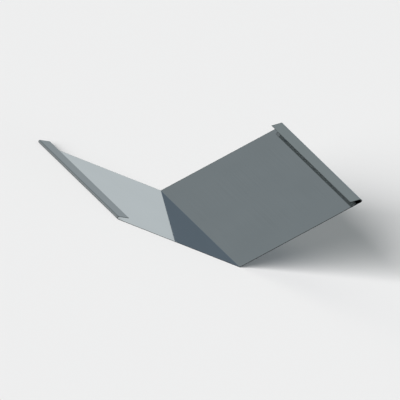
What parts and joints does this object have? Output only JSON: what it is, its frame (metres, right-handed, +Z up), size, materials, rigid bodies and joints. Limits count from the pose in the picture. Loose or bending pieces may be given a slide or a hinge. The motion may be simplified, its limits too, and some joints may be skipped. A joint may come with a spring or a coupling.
{
  "type": "valley flashing",
  "caption": "Sheet-metal valley flashing folded into a wide open V, with each outer edge turned back over its leg as an open hook.",
  "frame": {"origin": "on the outer face of the fold between the legs, where the flat leg's underside ends, halfway along the piece", "axes": "+Y along the fold, +Z up from the floor that the flat leg lies on, +X towards the raised leg"},
  "size_m": [0.3754, 0.5, 0.1778],
  "materials": {
    "sheet_metal": "polished"
  },
  "bodies": {
    "root": {"valley_flashing": "sheet_metal"}
  },
  "joints": []
}
